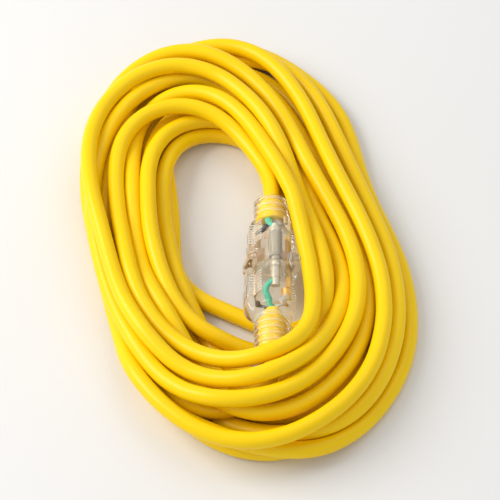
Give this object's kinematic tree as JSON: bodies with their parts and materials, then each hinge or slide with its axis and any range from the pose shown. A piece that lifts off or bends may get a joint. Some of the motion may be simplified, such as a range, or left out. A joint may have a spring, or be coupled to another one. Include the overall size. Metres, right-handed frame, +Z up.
{
  "type": "extension cord",
  "caption": "Bright yellow three-core extension cord wound into a low oval coil, its clear moulded plug pushed into its own clear connector inside the opening.",
  "frame": {"origin": "centre of the coil's footprint, on the surface it lies on", "axes": "+Z up; +Y along the pull axis of the mated plug and connector, from the plug towards the connector; +X to the right when the plug's end is nearest the viewer"},
  "size_m": [0.1872, 0.28, 0.0415],
  "materials": {
    "jacket": "satin",
    "clear_moulding": "gloss",
    "clear_insert": "gloss",
    "brass": "satin",
    "nickel": "satin",
    "black_core": "satin",
    "white_core": "satin",
    "green_core": "satin",
    "lamp_glass": "gloss",
    "resistor": "matte",
    "tinned_wire": "satin"
  },
  "bodies": {
    "root": {"cord_coil": "jacket", "cord_crossing_turn": "jacket", "cord_lead_plug": "jacket", "cord_lead_connector": "jacket", "connector_body": "clear_moulding", "connector_insert": "clear_insert", "contact_hot": "brass", "contact_neutral": "brass", "contact_ground": "nickel", "connector_wire_black": "black_core", "connector_wire_white": "white_core", "connector_wire_green": "green_core", "connector_jacket_end": "jacket", "indicator_lamp": "lamp_glass", "lamp_resistor": "resistor", "lamp_leads": "tinned_wire"},
    "plug": {"plug_body": "clear_moulding", "plug_bridge": "clear_insert", "plug_blade_hot": "brass", "plug_blade_neutral": "brass", "plug_ground_pin": "nickel", "plug_wire_black": "black_core", "plug_wire_white": "white_core", "plug_wire_green": "green_core", "plug_jacket_end": "jacket"}
  },
  "joints": [
    {"name": "plug_pull", "type": "slide", "parent": "root", "child": "plug", "axis": [0, -1, 0], "range_m": [0, 0.021], "deforming": ["cord_lead_plug"]}
  ]
}
